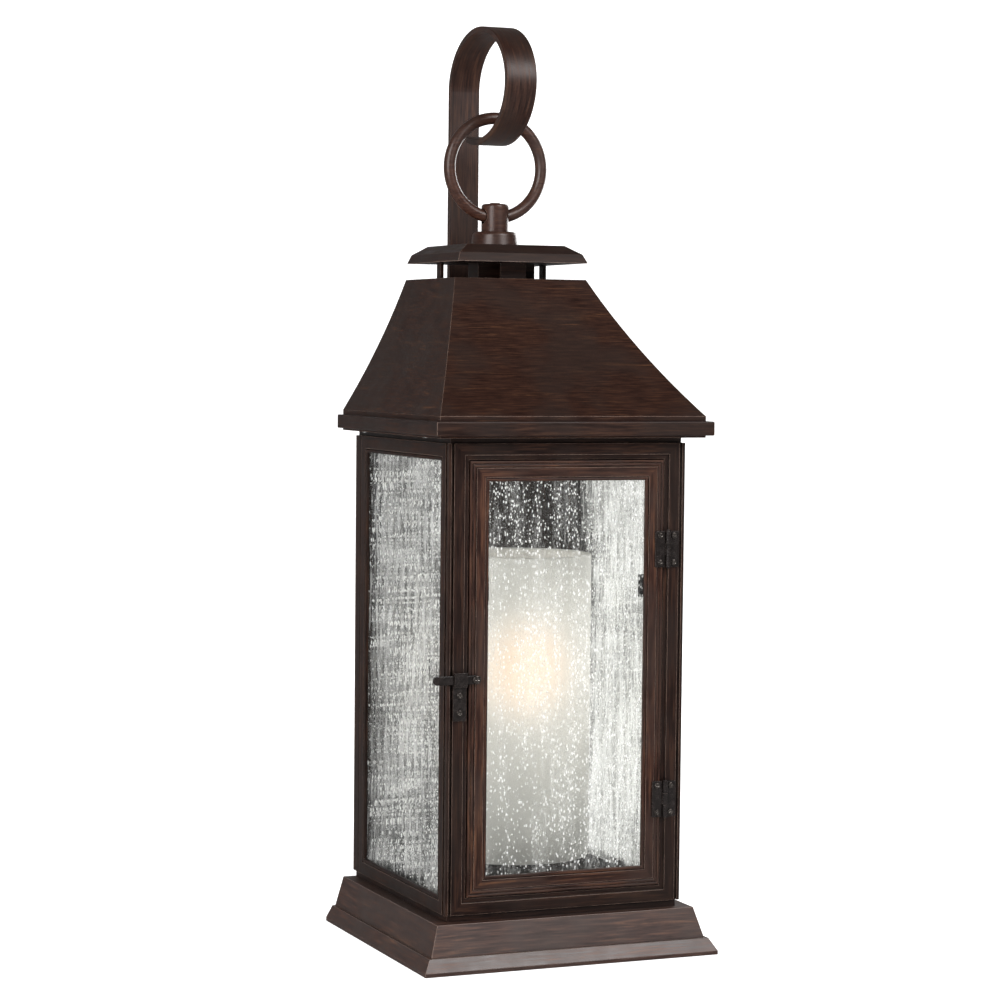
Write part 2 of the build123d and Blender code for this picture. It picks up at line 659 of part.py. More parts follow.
def bell(inset):
    """Solid bell-cast roof: straight-backed, with hollow slopes on three sides."""
    half_low, half_high = roof_foot_width / 2 - inset, roof_top_width / 2 - inset
    front_low, front_high = out(roof_foot_depth - inset), out(roof_top_depth - inset)
    low, high = up(roof_foot_level), up(roof_top_level)
    middle = (low + high) / 2
    side_bow_x = (half_low + half_high) / 2 - roof_bow_side
    front_bow_y = (front_low + front_high) / 2 + roof_bow_front
    with BuildPart() as solid:
        with BuildSketch(Plane.XZ.offset(wall_gap)):
            with BuildLine():
                Polyline((-half_high, high), (half_high, high))
                ThreePointArc((half_high, high), (side_bow_x, middle), (half_low, low))
                Line((half_low, low), (-half_low, low))
                ThreePointArc((-half_low, low), (-side_bow_x, middle), (-half_high, high))
            make_face()
        extrude(amount=roof_foot_depth)
        with BuildSketch(Plane.YZ):
            with BuildLine():
                Line((out(inset), low), (out(inset), high))
                Line((out(inset), high), (front_high, high))
                ThreePointArc((front_high, high), (front_bow_y, middle), (front_low, low))
                Line((front_low, low), (out(inset), low))
            make_face()
        extrude(amount=roof_foot_width, both=True, mode=Mode.INTERSECT)
    return solid.part


outer_bell, inner_bell = bell(0), bell(roof_slope_wall)

with BuildPart() as roof_shell:
    with BuildSketch(level_plane(roof_foot_low_level)):
        plan(roof_foot_width, roof_foot_depth)
    extrude(amount=roof_foot_level - roof_foot_low_level)
    add(outer_bell)
    with BuildSketch(level_plane(roof_foot_low_level)):
        plan(roof_foot_width, roof_foot_depth, roof_sheet)
    extrude(amount=roof_foot_level - roof_foot_low_level - roof_sheet, mode=Mode.SUBTRACT)
    with BuildSketch(level_plane(roof_foot_level)):
        plan(roof_foot_width, roof_foot_depth, roof_slope_wall)
    extrude(amount=-2 * roof_sheet, mode=Mode.SUBTRACT)
    add(inner_bell, mode=Mode.SUBTRACT)
    with BuildSketch(level_plane(roof_foot_low_level + soffit_sheet)):
        plan(roof_foot_width, roof_foot_depth, roof_sheet)
        plan(roof_foot_width, roof_foot_depth, roof_sheet + roof_flange, mode=Mode.SUBTRACT)
    extrude(amount=roof_sheet)
    block((roof_sheet - roof_top_width / 2, roof_top_width / 2 - roof_sheet),
          (roof_sheet, roof_top_depth - roof_sheet), (roof_top_level - roof_sheet, roof_top_level))
    slot_width, slot_depth = vent_slot
    through_roof = (roof_top_level - 2 * roof_sheet, roof_top_level + through)
    block((-slot_width / 2, slot_width / 2), (baffle_middle - slot_depth / 2, baffle_middle + slot_depth / 2),
          through_roof, mode=Mode.SUBTRACT)
    upright(0, post_depth, through_roof, rod_radius + fit_gap, mode=Mode.SUBTRACT)
    for side in (-1, 1):
        for depth in soffit_screw_depths:
            upright(side * soffit_screw_x, depth, (roof_foot_low_level, screw_top + soffit_sheet + roof_sheet),
                    small_shank_radius + fit_gap, mode=Mode.SUBTRACT)
finish(roof_shell, "roof_shell")

vent_levels = (roof_top_level, cap_level)
with BuildPart() as vent_brackets:
    half_thick = bracket_thickness / 2
    for depth in (front_bracket_depth, rear_bracket_depth):
        block((-front_bracket_width / 2, front_bracket_width / 2), (depth - half_thick, depth + half_thick),
              vent_levels)
    for x in (-bracket_half_span, bracket_half_span):
        block((x - half_thick, x + half_thick),
              (side_bracket_depth - side_bracket_width / 2, side_bracket_depth + side_bracket_width / 2),
              vent_levels)
finish(vent_brackets, "vent_brackets")

with BuildPart() as vent_baffle:
    baffle_near, baffle_far = baffle_depths
    baffle_levels = (roof_top_level, cap_level - pane_gap)
    block((-baffle_width / 2, baffle_width / 2), baffle_depths, baffle_levels)
    block((baffle_sheet - baffle_width / 2, baffle_width / 2 - baffle_sheet),
          (baffle_near - through, baffle_far - baffle_sheet), baffle_levels, mode=Mode.SUBTRACT)
finish(vent_baffle, "vent_baffle")

# ----------------------------------------------------------------------- cap
cap_low = (cap_width, cap_depth, cap_level)
cap_middle = (cap_shoulder_width, cap_shoulder_depth, cap_shoulder_level)
cap_high = (cap_top_width, cap_top_depth, cap_top_level)
cap_high_inner = (cap_top_width, cap_top_depth, cap_top_level - cap_sheet)

with BuildPart() as cap_top:
    tapered(cap_low, cap_middle, back=cap_back_lean[:2])
    tapered(cap_middle, cap_high, back=cap_back_lean[1:])
    tapered(cap_low, cap_middle, cap_sheet, cap_back_lean[:2], mode=Mode.SUBTRACT)
    tapered(cap_middle, cap_high_inner, cap_sheet, cap_back_lean[1:], mode=Mode.SUBTRACT)
    upright(0, post_depth, (cap_top_level - 2 * cap_sheet, cap_top_level + through), rod_radius + fit_gap,
            mode=Mode.SUBTRACT)
finish(cap_top, "cap_top")

with BuildPart() as cap_plate:
    with BuildSketch(level_plane(cap_level)):
        plan(cap_width, cap_depth, 1.7 * cap_sheet)
    extrude(amount=cap_sheet)
    upright(0, post_depth, (cap_level - through, cap_level + 2 * cap_sheet), rod_radius + fit_gap,
            mode=Mode.SUBTRACT)
finish(cap_plate, "cap_plate")

# ------------------------------------------------------------ finial and ring
post_plane = front_plane(post_depth)
post_axis = Axis((0, out(post_depth), 0), (0, 0, 1))

with BuildPart() as ring_flange:
    with BuildSketch(post_plane):
        with BuildLine():
            low, high = up(cap_top_level), up(flange_level)
            bore = rod_radius + fit_gap
            shoulder = flange_top_radius - 3.2
            Polyline((shoulder, high), (bore, high), (bore, low), (flange_radius, low),
                     (flange_top_radius + 0.6, high - 3.4))
            ThreePointArc((flange_top_radius + 0.6, high - 3.4), (flange_top_radius - 0.6, high - 0.9),
                          (shoulder, high))
        make_face()
    revolve(axis=post_axis)
finish(ring_flange, "ring_flange")

with BuildPart() as ring_post:
    with BuildSketch(post_plane):
        with BuildLine():
            low, high = up(flange_level), up(finial_top_level)
            Polyline((0, high), (0, low), (finial_radius, low), (finial_radius, high - finial_dome))
            ThreePointArc((finial_radius, high - finial_dome), (finial_radius - 0.8, high - 0.7),
                          (finial_radius - 2.6, high))
            Line((finial_radius - 2.6, high), (0, high))
        make_face()
        area(0, button_radius, up(finial_top_level), up(finial_top_level) + button_height)
    revolve(axis=post_axis)
    upright(0, post_depth, (flange_level - through, rod_high_level + rod_hole_gap), rod_radius + fit_gap,
            mode=Mode.SUBTRACT)
    ring_low_level = ring_level - ring_radius
    with Locations(Location((0, out(post_depth), up(ring_low_level + ring_hole_rise)), (0, 90, 0))):
        Cylinder(ring_hole_radius, 3 * finial_radius, mode=Mode.SUBTRACT)
finish(ring_post, "ring_post")

with BuildPart() as cap_rod:
    upright(0, post_depth, (rod_low_level, rod_high_level), rod_radius)
    chamfer(cap_rod.edges().filter_by(GeomType.CIRCLE), rod_chamfer)
finish(cap_rod, "cap_rod")

with BuildPart() as rod_nut:
    nut_top = roof_top_level - roof_sheet
    with BuildSketch(Plane(origin=(0, out(post_depth), up(nut_top - nut_height)))):
        RegularPolygon(nut_across_flats / 2, 6, major_radius=False)
        Circle(rod_radius + fit_gap, mode=Mode.SUBTRACT)
    extrude(amount=nut_height)
finish(rod_nut, "rod_nut")

with BuildPart() as ring:
    with Locations(Location((0, out(post_depth), up(ring_level)), (90, 0, 0))):
        Torus(ring_radius, ring_wire_radius)
finish(ring, "ring")

# ---------------------------------------------------------------------- lamp
shade_inner = shade_radius - shade_wall

with BuildPart() as shade_seat:
    seat_low = shade_low_level - seat_thickness
    upright(0, lamp_depth, (seat_low, shade_low_level), seat_radius)
    lip_top = shade_low_level + seat_lip_height
    lip_radius = shade_inner - seat_lip_gap
    upright(0, lamp_depth, (shade_low_level, lip_top), lip_radius)
    upright(0, lamp_depth, (shade_low_level, lip_top + through), lip_radius - seat_lip_wall,
            mode=Mode.SUBTRACT)
    upright(0, lamp_depth, (seat_low - through, shade_low_level + through), tube_radius + fit_gap,
            mode=Mode.SUBTRACT)
finish(shade_seat, "shade_seat")

with BuildPart() as shade_cylinder:
    upright(0, lamp_depth, (shade_low_level, shade_high_level), shade_radius)
    upright(0, lamp_depth, (shade_low_level - through, shade_high_level + through), shade_inner,
            mode=Mode.SUBTRACT)
    fillet(shade_cylinder.edges().filter_by(GeomType.CIRCLE).group_by(Axis.Z)[-1], 0.3 * shade_wall)
finish(shade_cylinder, "shade_cylinder")

with BuildPart() as lamp_tube:
    upright(0, lamp_depth, (tube_low_level, tube_high_level), tube_radius)
    upright(0, lamp_depth, (tube_low_level - through, tube_high_level + through), tube_bore,
            mode=Mode.SUBTRACT)
finish(lamp_tube, "lamp_tube")

with BuildPart() as tube_nuts:
    under_floor = body_low_level - floor_sheet - tube_nut_height
    for low in (under_floor, body_low_level, seat_low - tube_nut_height, shade_low_level):
        with BuildSketch(Plane(origin=(0, out(lamp_depth), up(low)))):
            RegularPolygon(tube_nut_flats / 2, 6, major_radius=False)
            Circle(tube_radius + fit_gap, mode=Mode.SUBTRACT)
        extrude(amount=tube_nut_height)
finish(tube_nuts, "tube_nuts")

with BuildPart() as lamp_socket:
    upright(0, lamp_depth, (socket_low_level, socket_high_level), socket_radius)
    liner_low = tube_high_level + socket_floor
    fillet(lamp_socket.edges().filter_by(GeomType.CIRCLE).group_by(Axis.Z)[0], socket_round)
    upright(0, lamp_depth, (liner_low, socket_high_level + through), socket_liner_radius + fit_gap,
            mode=Mode.SUBTRACT)
    upright(0, lamp_depth, (socket_low_level - through, liner_low + through), tube_radius + fit_gap,
            mode=Mode.SUBTRACT)
finish(lamp_socket, "lamp_socket")

with BuildPart() as socket_shell:
    liner_floor = liner_low + 1
    upright(0, lamp_depth, (liner_low, socket_high_level - socket_liner_drop), socket_liner_radius)
    upright(0, lamp_depth, (liner_floor, socket_high_level), socket_bore, mode=Mode.SUBTRACT)
    upright(0, lamp_depth, (liner_low - through, liner_floor + through), tube_bore, mode=Mode.SUBTRACT)
finish(socket_shell, "socket_shell")

with BuildPart() as bulb_cap:
    upright(0, lamp_depth, (bulb_cap_low_level, bulb_cap_high_level), bulb_neck_radius)
    chamfer(bulb_cap.edges().filter_by(GeomType.CIRCLE).group_by(Axis.Z)[0], bulb_cap_chamfer)
    upright(0, lamp_depth, (liner_floor, bulb_cap_low_level), bulb_contact_radius)
finish(bulb_cap, "bulb_cap")

# the bulb's neck is a cone that runs into the globe as a tangent
neck_drop = bulb_level - bulb_cap_high_level
neck_length = hypot(bulb_neck_radius, neck_drop)
tangent_angle = atan2(bulb_neck_radius, neck_drop) + acos(bulb_radius / neck_length)
shoulder_radius = bulb_radius * sin(tangent_angle)
shoulder_drop = bulb_radius * cos(tangent_angle)

with BuildPart() as bulb_glass:
    with Locations((0, out(lamp_depth), up(bulb_level))):
        Sphere(bulb_radius)
    with Locations((0, out(lamp_depth), up(bulb_level - (neck_drop + shoulder_drop) / 2))):
        Cone(bulb_neck_radius, shoulder_radius, neck_drop - shoulder_drop)
finish(bulb_glass, "bulb_glass")

# --------------------------------------------------------------- supply lead
lead_route = [
    (0, out(lamp_depth), up(lead_top_level)),
    (0, out(lamp_depth), up(lead_low_level)),
    (0, out(lead_rise_depth), up(lead_low_level)),
    (0, out(lead_rise_depth), up(lead_high_level)),
    (0, out(-canopy_wall), up(lead_high_level)),
]

with BuildPart() as lamp_lead:
    with BuildLine():
        lead_path = FilletPolyline(*lead_route, radius=lead_bend)
    with BuildSketch(Plane(origin=lead_route[0], z_dir=(0, 0, -1))):
        Circle(lead_radius)
    sweep(path=lead_path)
finish(lamp_lead, "lamp_lead")

with BuildPart() as wire_channel:
    channel_high_level = lead_high_level + 2 * lead_bend
    block((-channel_width / 2, channel_width / 2), (sheet, sheet + channel_depth),
          (body_low_level, channel_high_level))
    block((channel_sheet - channel_width / 2, channel_width / 2 - channel_sheet),
          (sheet - through, sheet + channel_depth - channel_sheet),
          (body_low_level - through, channel_high_level - channel_sheet), mode=Mode.SUBTRACT)
finish(wire_channel, "wire_channel")

# ---------------------------------------------------------------------- door
door_outer = grow(door_opening, -door_gap)
door_light = grow(door_outer, -door_member)
door_back = body_depth - door_thickness
pane_front_depth = body_depth - door_lip_thickness

door_moulding = ring_moulding(front_plane(door_back), door_outer, door_light, door_thickness, door_lands, 3)

with BuildPart() as door_frame:
    add(door_moulding)
    with BuildSketch(front_plane(pane_front_depth)):
        area(*grow(door_light, door_rebate))
    extrude(amount=-door_thickness, mode=Mode.SUBTRACT)
    for x, level in door_screw_places:
        forward_rod(x, level, (body_depth - door_screw_length, body_depth + through),
                    small_shank_radius + fit_gap, mode=Mode.SUBTRACT)
    forward_rod(latch_x, latch_level, (door_back - through, body_depth + through),
                latch_shank_radius + pin_clearance, mode=Mode.SUBTRACT)
finish(door_frame, "door_frame")

with BuildPart() as door_glass:
    with BuildSketch(front_plane(pane_front_depth - fit_gap)):
        area(*grow(door_light, door_rebate - pane_gap))
    extrude(amount=-pane_thickness)
finish(door_glass, "door_glass")

with BuildPart() as door_clips:
    light_right, light_low, light_high = door_light[1:]
    clip_levels = (door_clip_level - clip_width / 2, door_clip_level + clip_width / 2)
    for side in (-1, 1):
        block(sorted((side * (light_right - door_clip_show), side * (light_right + door_clip_reach))),
              (door_back - clip_sheet, door_back), clip_levels)
    for edge_z, outward in ((light_low, -1), (light_high, 1)):
        block((-clip_width / 2, clip_width / 2), (door_back - clip_sheet, door_back),
              sorted((edge_z + mount_level, edge_z + mount_level + outward * door_clip_reach)))
finish(door_clips, "door_clips")

# -------------------------------------------------------------------- hinges
hinge_axis_depth = body_depth + knuckle_radius + 0.15
knuckle_bore = pin_radius + pin_clearance
leaf_depths = (body_depth, body_depth + leaf_thickness)
knuckle_length = (leaf_height - 2 * knuckle_gap) / 3


def knuckle_levels(level, index):
    """Lower and upper limits of one of a hinge's three knuckles."""
    low = level - leaf_height / 2 + index * (knuckle_length + knuckle_gap)
    return low, low + knuckle_length


def hinge_leaf(level, reach, side, knuckles):
    """One leaf with its own knuckles; the other leaf's knuckles are cleared."""
    half = leaf_height / 2
    edge_x = hinge_axis_x + side * reach
    with BuildPart() as leaf:
        block(sorted((hinge_axis_x, edge_x)), leaf_depths, (level - half, level + half))
        for index in range(3):
            if index in knuckles:
                upright(hinge_axis_x, hinge_axis_depth, knuckle_levels(level, index), knuckle_radius)
            else:
                low, high = knuckle_levels(level, index)
                block(sorted((hinge_axis_x - side, hinge_axis_x + side * (knuckle_radius + knuckle_gap))),
                      (body_depth - through, body_depth + 2 * knuckle_radius),
                      (low - knuckle_gap, high + knuckle_gap), mode=Mode.SUBTRACT)
        upright(hinge_axis_x, hinge_axis_depth, (level - leaf_height, level + leaf_height), knuckle_bore,
                mode=Mode.SUBTRACT)
        for offset in hinge_screw_offsets:
            forward_rod(edge_x - side * hinge_screw_inset, level + offset,
                        (body_depth - through, body_depth + leaf_thickness + through),
                        small_shank_radius + fit_gap, mode=Mode.SUBTRACT)
    return leaf


for level, place in zip(hinge_levels, ("upper", "lower")):
    finish(hinge_leaf(level, door_leaf_reach, -1, (1,)), f"{place}_door_leaf")
    finish(hinge_leaf(level, frame_leaf_reach, 1, (0, 2)), f"{place}_frame_leaf")

with BuildPart() as hinge_pins:
    for level in hinge_levels:
        low, high = level - leaf_height / 2, level + leaf_height / 2
        upright(hinge_axis_x, hinge_axis_depth, (low - pin_overhang, high + fit_gap), pin_radius)
        upright(hinge_axis_x, hinge_axis_depth, (high + fit_gap, high + fit_gap + pin_overhang),
                knuckle_radius - knuckle_gap)
finish(hinge_pins, "hinge_pins")


def face_screws(places, face_depth, length, head_radius, head_height, shank_radius):
    """Pan-head screws driven straight back into a forward-facing surface."""
    with BuildPart() as screws:
        for x, level in places:
            forward_rod(x, level, (face_depth, face_depth + head_height), head_radius)
            forward_rod(x, level, (face_depth - length, face_depth), shank_radius)
        rims = screws.edges().filter_by(GeomType.CIRCLE).group_by(Axis.Y)[0]
        fillet(rims, 0.6 * head_height)
        scale = head_radius / small_head_radius
        face = face_depth + head_height
        for x, level in places:
            for arm in ((recess_slit, recess_arm), (recess_arm, recess_slit)):
                width, height = (size * scale for size in arm)
                block((x - width / 2, x + width / 2), (face - recess_deep, face + through),
                      (level - height / 2, level + height / 2), mode=Mode.SUBTRACT)
    return screws


small_screw = (small_head_radius, small_head_height, small_shank_radius)
leaf_face = body_depth + leaf_thickness
finish(face_screws(door_screw_places, leaf_face, door_screw_length, *small_screw), "door_hinge_screws")

# --------------------------------------------------------------------- latch
bar_depth = body_depth + latch_gap
with BuildPart() as latch_bar:
    slot_length = latch_x - latch_tip_x - latch_height / 2
    with BuildSketch(front_plane(bar_depth)):
        with Locations((latch_x - slot_length / 2, up(latch_level))):
            SlotCenterToCenter(slot_length, latch_height)
        with Locations((latch_x, up(latch_level))):
            Circle(latch_shank_radius + pin_clearance, mode=Mode.SUBTRACT)
    extrude(amount=latch_thickness)
    fillet(latch_bar.faces().sort_by(Axis.Y)[0].outer_wire().edges(), latch_edge_round)
finish(latch_bar, "latch_bar")

latch_screw = face_screws([(latch_x, latch_level)], bar_depth + latch_thickness + latch_head_gap,
                          latch_screw_length, latch_head_radius, latch_head_height, latch_shank_radius)
finish(latch_screw, "latch_screw")

with BuildPart() as keeper:
    shelf_top = latch_level - latch_height / 2 - latch_gap
    shelf_low = shelf_top - keeper_thickness
    plate_front = body_depth + keeper_thickness
    hook_back = body_depth + keeper_slot
    hook_front = hook_back + keeper_thickness
    block(keeper_x, (body_depth, plate_front), (keeper_low_level, shelf_top))
    block(keeper_x, (body_depth, hook_front), (shelf_low, shelf_top))
    block(keeper_x, (hook_back, hook_front), (shelf_low, keeper_high_level))
    for level in keeper_screw_levels:
        forward_rod(keeper_screw_x, level, (body_depth - through, plate_front + through),
                    small_shank_radius + fit_gap, mode=Mode.SUBTRACT)
finish(keeper, "keeper")

# the same small screws hold the two frame leaves and the keeper
leaf_screws = face_screws(frame_screw_places[:4], leaf_face, leaf_thickness + frame_thickness, *small_screw)
hook_screws = face_screws(frame_screw_places[4:], body_depth + keeper_thickness,
                          keeper_thickness + frame_thickness, *small_screw)
with BuildPart() as frame_screws:
    add(leaf_screws.part)
    add(hook_screws.part)
finish(frame_screws, "frame_screws")
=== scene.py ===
import math
import random

import bmesh
import bpy
from mathutils import Matrix, Vector


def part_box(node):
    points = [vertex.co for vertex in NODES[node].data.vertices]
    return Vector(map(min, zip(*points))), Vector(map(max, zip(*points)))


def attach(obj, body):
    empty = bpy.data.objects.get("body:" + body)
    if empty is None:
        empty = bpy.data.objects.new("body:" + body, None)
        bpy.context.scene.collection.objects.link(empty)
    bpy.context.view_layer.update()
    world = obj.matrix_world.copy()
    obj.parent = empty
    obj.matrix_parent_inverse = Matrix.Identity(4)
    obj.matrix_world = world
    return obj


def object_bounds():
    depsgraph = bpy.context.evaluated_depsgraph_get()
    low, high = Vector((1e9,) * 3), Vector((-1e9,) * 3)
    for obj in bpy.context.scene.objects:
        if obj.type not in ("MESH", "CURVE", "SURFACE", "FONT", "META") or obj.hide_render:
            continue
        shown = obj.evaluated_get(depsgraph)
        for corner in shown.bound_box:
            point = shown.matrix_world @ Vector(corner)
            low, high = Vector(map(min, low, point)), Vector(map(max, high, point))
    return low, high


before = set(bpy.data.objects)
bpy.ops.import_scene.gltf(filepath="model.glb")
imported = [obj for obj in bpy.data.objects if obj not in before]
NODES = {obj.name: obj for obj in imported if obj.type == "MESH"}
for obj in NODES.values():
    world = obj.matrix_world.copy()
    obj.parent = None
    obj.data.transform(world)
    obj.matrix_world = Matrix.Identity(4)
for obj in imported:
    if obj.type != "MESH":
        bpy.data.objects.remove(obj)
cad_low, cad_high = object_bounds()

MM = 0.001
# Near-black colour of the painted shade in recesses.
RECESS_SHADE = (0.0020, 0.0014, 0.0012)
# Pale edge colour: partly rubbed bare metal, partly painted highlight.
BARE_METAL_HIGHLIGHT = (0.36, 0.25, 0.20)
# Colour of the painted glint that makes the bubbles glow.
PAINTED_GLINT_COLOUR = (1.0, 1.0, 0.97)
BUBBLE_SMALLEST, BUBBLE_SPREAD = 0.18, 0.42  # mm of radius
BUBBLE_BANDS = 16
IN_BAND_SHARE = 0.35

# ------------------------------------------------------------------ camera
CAMERA_PLACE = (-0.87613, -2.18841, 0.17025)
CAMERA_RIGHT = (0.923451, -0.383592, 0.009792)
CAMERA_UP = (0.013985, 0.059147, 0.998152)
CAMERA_BACK = (-0.383462, -0.921606, 0.059983)
CAMERA_LENS = 101.233
CAMERA_SHIFT = (0.00382, 0.01879)
SENSOR_WIDTH = 36.0


def make_camera():
    """Camera at the photograph's viewing angle."""
    data = bpy.data.cameras.new("camera")
    data.lens, data.sensor_width = CAMERA_LENS, SENSOR_WIDTH
    data.shift_x, data.shift_y = CAMERA_SHIFT
    data.clip_start, data.clip_end = 0.05, 50.0
    camera = bpy.data.objects.new("camera", data)
    bpy.context.scene.collection.objects.link(camera)
    turn = Matrix((CAMERA_RIGHT, CAMERA_UP, CAMERA_BACK)).transposed().to_4x4()
    camera.matrix_world = Matrix.Translation(CAMERA_PLACE) @ turn
    bpy.context.scene.camera = camera


# ------------------------------------------------------------ node helpers
class Shader:
    """A material, with short ways to add nodes to it."""

    def __init__(self, name):
        self.material = bpy.data.materials.new(name)
        self.material.use_nodes = True
        self.tree = self.material.node_tree
        self.tree.nodes.clear()
        self.coord = self.add("TexCoord").outputs["Object"]

    def add(self, kind, inputs=None, **settings):
        node = self.tree.nodes.new("ShaderNode" + kind)
        for key, value in settings.items():
            setattr(node, key, value)
        for key, value in (inputs or {}).items():
            self.put(value, node.inputs[key])
        return node

    def put(self, value, socket):
        """Link a socket's output, or set a constant."""
        if isinstance(value, bpy.types.NodeSocket):
            self.tree.links.new(value, socket)
        elif isinstance(value, (tuple, list)) and len(value) == 3 and socket.type == "RGBA":
            socket.default_value = (*value, 1.0)
        else:
            socket.default_value = value

    def math(self, operation, a, b=0.0, c=0.0, clamp=False):
        node = self.add("Math", {0: a, 1: b, 2: c}, operation=operation, use_clamp=clamp)
        return node.outputs[0]

    def vector(self, operation, a, b=(0, 0, 0)):
        node = self.add("VectorMath", {0: a, 1: b}, operation=operation)
        is_number = operation in ("DOT_PRODUCT", "DISTANCE")
        return node.outputs["Value" if is_number else "Vector"]

    def split(self, vector):
        return self.add("SeparateXYZ", {0: vector}).outputs

    def noise(self, scale, detail=3.0, roughness=0.55, where=None, distortion=0.0):
        """Value noise; scale is one number, or one for each axis, per metre."""
        where = where or self.coord
        if isinstance(scale, (tuple, list)):
            where, scale = self.vector("MULTIPLY", where, scale), 1.0
        inputs = {
            "Vector": where,
            "Scale": scale,
            "Detail": detail,
            "Roughness": roughness,
            "Distortion": distortion,
        }
        return self.add("TexNoise", inputs).outputs["Fac"]

    def remap(self, value, low, high, to_low=0.0, to_high=1.0, smooth=True):
        inputs = {
            "Value": value,
            "From Min": low,
            "From Max": high,
            "To Min": to_low,
            "To Max": to_high,
        }
        curve = "SMOOTHSTEP" if smooth else "LINEAR"
        node = self.add("MapRange", inputs, interpolation_type=curve)
        return node.outputs["Result"]

    def ramp(self, value, stops):
        node = self.add("ValToRGB", {"Fac": value})
        elements = node.color_ramp.elements
        while len(elements) < len(stops):
            elements.new(0.5)
        for element, (place, colour) in zip(elements, stops):
            element.position = place
            element.color = (*colour, 1.0)
        return node.outputs["Color"]

    def mix(self, factor, a, b, blend="MIX"):
        node = self.add("Mix", data_type="RGBA", blend_type=blend)
        for value, index in ((factor, 0), (a, 6), (b, 7)):
            self.put(value, node.inputs[index])
        return node.outputs[2]

    def mix_vector(self, factor, a, b):
        node = self.add("Mix", data_type="VECTOR")
        for value, index in ((factor, 0), (a, 4), (b, 5)):
            self.put(value, node.inputs[index])
        return node.outputs[1]

    def bump(self, strength, distance, height, normal=None):
        inputs = {"Strength": strength, "Distance": distance, "Height": height}
        if normal is not None:
            inputs["Normal"] = normal
        return self.add("Bump", inputs).outputs["Normal"]

    def blend(self, factor, a, b):
        return self.add("MixShader", {0: factor, 1: a, 2: b}).outputs[0]

    def finish(self, surface):
        out = self.add("OutputMaterial")
        self.tree.links.new(surface, out.inputs["Surface"])
        return self.material


# ------------------------------------------------------------ metal finishes
def grain_space(s, kind, box=None, close=1.0):
    """Coordinates stretched so that noise at scale 1 draws brush streaks.

    kind is "level" for streaks round the body, "upright" for streaks up it,
    "along" for streaks that run square to X, and "front" or "side" for a
    mitred frame, whose stiles have upright streaks and whose rails level ones.
    close above 1 draws finer, shorter streaks.
    """
    fine, coarse = 620.0 * close, 34.0 * close
    level_x = s.vector("MULTIPLY", s.coord, (coarse, fine, fine))
    if kind == "along":
        return s.vector("MULTIPLY", s.coord, (fine, coarse, coarse))
    upright = s.vector("MULTIPLY", s.coord, (fine, fine, coarse))
    if kind == "upright":
        return upright
    level_y = s.vector("MULTIPLY", s.coord, (fine, coarse, fine))
    if kind == "level":
        normal = s.add("NewGeometry").outputs["True Normal"]
        nx, ny, _ = s.split(s.vector("ABSOLUTE", normal))
        return s.mix_vector(s.math("GREATER_THAN", nx, ny), level_x, level_y)
    low, high = box
    axis = 0 if kind == "front" else 1
    centre, half = (low + high) / 2, (high - low) / 2
    parts = s.split(s.coord)
    sideways = s.math("ABSOLUTE", s.math("SUBTRACT", parts[axis], centre[axis]))
    from_stile = s.math("SUBTRACT", half[axis], sideways)
    upwards = s.math("ABSOLUTE", s.math("SUBTRACT", parts[2], centre[2]))
    from_rail = s.math("SUBTRACT", half[2], upwards)
    on_stile = s.math("LESS_THAN", from_stile, from_rail)
    return s.mix_vector(on_stile, level_x if kind == "front" else level_y, upright)


